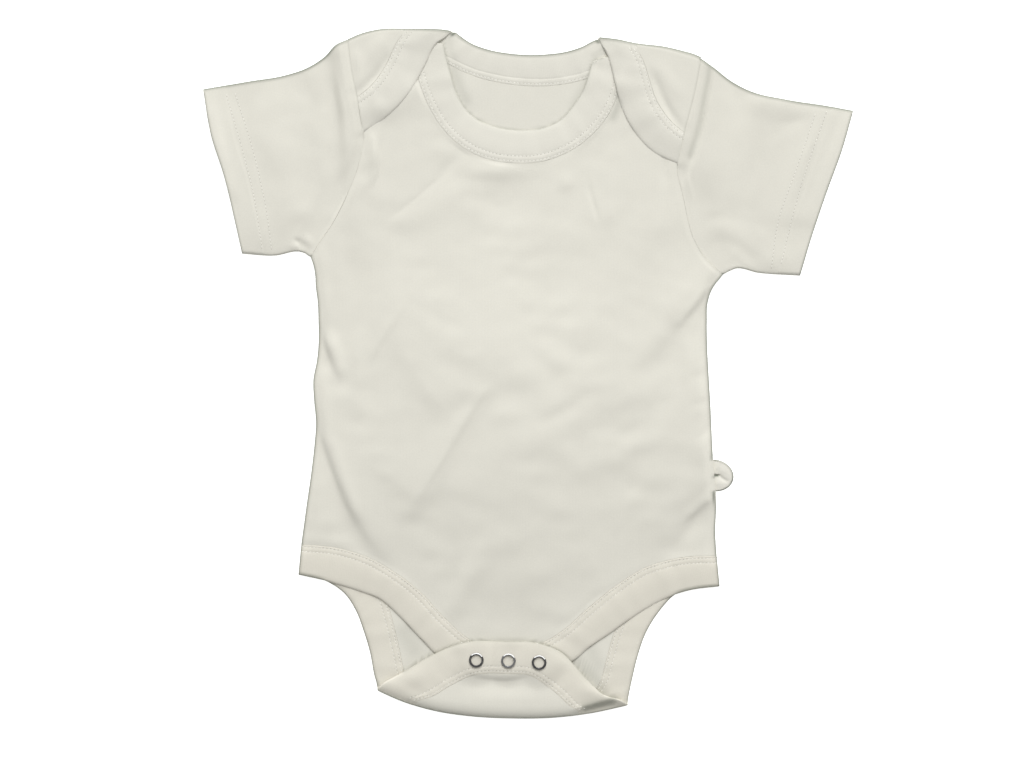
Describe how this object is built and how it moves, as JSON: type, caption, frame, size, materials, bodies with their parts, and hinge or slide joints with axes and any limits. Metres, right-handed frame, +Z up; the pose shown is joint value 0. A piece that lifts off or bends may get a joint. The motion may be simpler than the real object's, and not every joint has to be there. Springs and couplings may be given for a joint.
{
  "type": "baby bodysuit",
  "caption": "Short-sleeved off-white jersey baby bodysuit with an envelope neck, bound neck and leg edges and a snapped crotch flap, lying flat on its back.",
  "frame": {"origin": "on the surface that the garment lies on, under the middle of its bounding box", "axes": "+Z up from that surface, out through the front of the garment; +Y from the crotch towards the neck, its longest extent; +X to the right of a viewer who looks down at the front, the side with the small loop"},
  "size_m": [0.3776, 0.4001, 0.0073],
  "materials": {
    "jersey": "matt off-white cotton single jersey",
    "binding": "matt off-white cotton rib binding, doubled",
    "tape": "matt off-white woven tape",
    "snap_metal": "polished nickel-plated metal"
  },
  "bodies": {
    "root": {"back_panel": "jersey", "front_panel": "jersey", "sleeve_left": "jersey", "sleeve_right": "jersey", "neck_band_back": "binding", "neck_band_front": "binding", "leg_band_front": "binding", "leg_band_back": "binding", "snap_ring_1": "snap_metal", "snap_ring_2": "snap_metal", "snap_ring_3": "snap_metal", "snap_stud_1": "snap_metal", "snap_stud_2": "snap_metal", "snap_stud_3": "snap_metal", "side_loop": "tape"}
  },
  "joints": []
}
